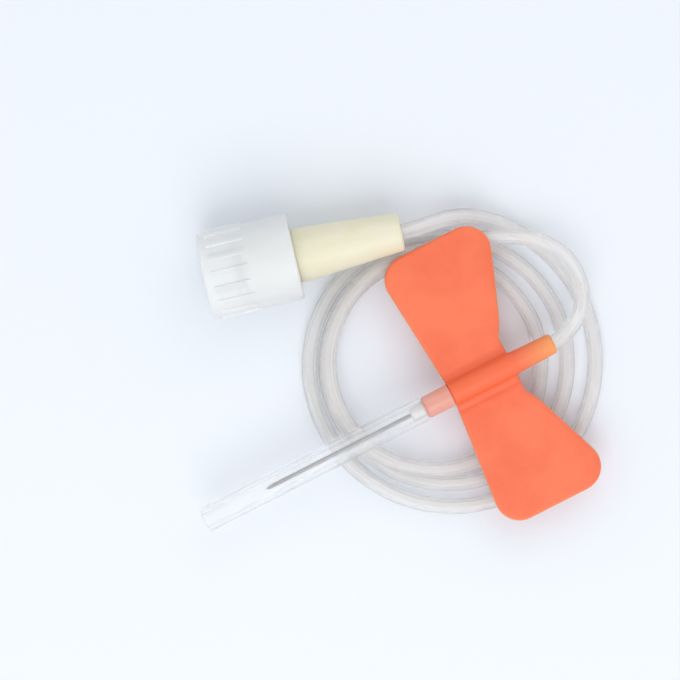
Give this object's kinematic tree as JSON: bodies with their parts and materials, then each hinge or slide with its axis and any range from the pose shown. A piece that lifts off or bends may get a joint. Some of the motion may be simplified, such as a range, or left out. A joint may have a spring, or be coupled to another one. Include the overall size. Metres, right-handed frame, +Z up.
{
  "type": "winged infusion set",
  "caption": "Butterfly needle with soft folding wings, guard tube, coiled clear line and a capped female luer connector.",
  "frame": {"origin": "point on the resting plane straight below the middle of the wing sleeve", "axes": "+X along the needle from its point towards the tube, +Y towards the left wing and the coil's connector side, +Z up from the resting surface"},
  "size_m": [0.0538, 0.0481, 0.0108],
  "materials": {
    "steel": "drawn stainless steel",
    "hub_plastic": "translucent coral plastic",
    "soft_orange": "soft satin orange vinyl",
    "clear_guard": "clear slightly milky tube",
    "clear_tube": "clear soft vinyl tube",
    "yellow_plastic": "pale yellow translucent plastic",
    "milky_plastic": "milky translucent plastic"
  },
  "bodies": {
    "root": {"cannula": "steel", "needle_hub": "hub_plastic", "wing_sleeve": "soft_orange", "tube_lead": "clear_tube", "tube_coil": "clear_tube", "tube_end": "clear_tube", "luer_connector": "yellow_plastic"},
    "left_wing": {"wing_left": "soft_orange"},
    "right_wing": {"wing_right": "soft_orange"},
    "guard": {"needle_sheath": "clear_guard"},
    "cap": {"luer_cap": "milky_plastic"}
  },
  "joints": [
    {"name": "left_fold", "type": "hinge", "parent": "root", "child": "left_wing", "pos_m": [0, 0.0015, 0.00517], "axis": [1, 0, 0], "range_deg": [0, 90]},
    {"name": "right_fold", "type": "hinge", "parent": "root", "child": "right_wing", "pos_m": [0, -0.0015, 0.00517], "axis": [-1, 0, 0], "range_deg": [0, 90]},
    {"name": "guard_pull", "type": "slide", "parent": "root", "child": "guard", "axis": [-1, 0, 0], "range_m": [0, 0.024]},
    {"name": "cap_pull", "type": "slide", "parent": "root", "child": "cap", "axis": [-0.9703, 0.2419, 0], "range_m": [0, 0.009]}
  ]
}
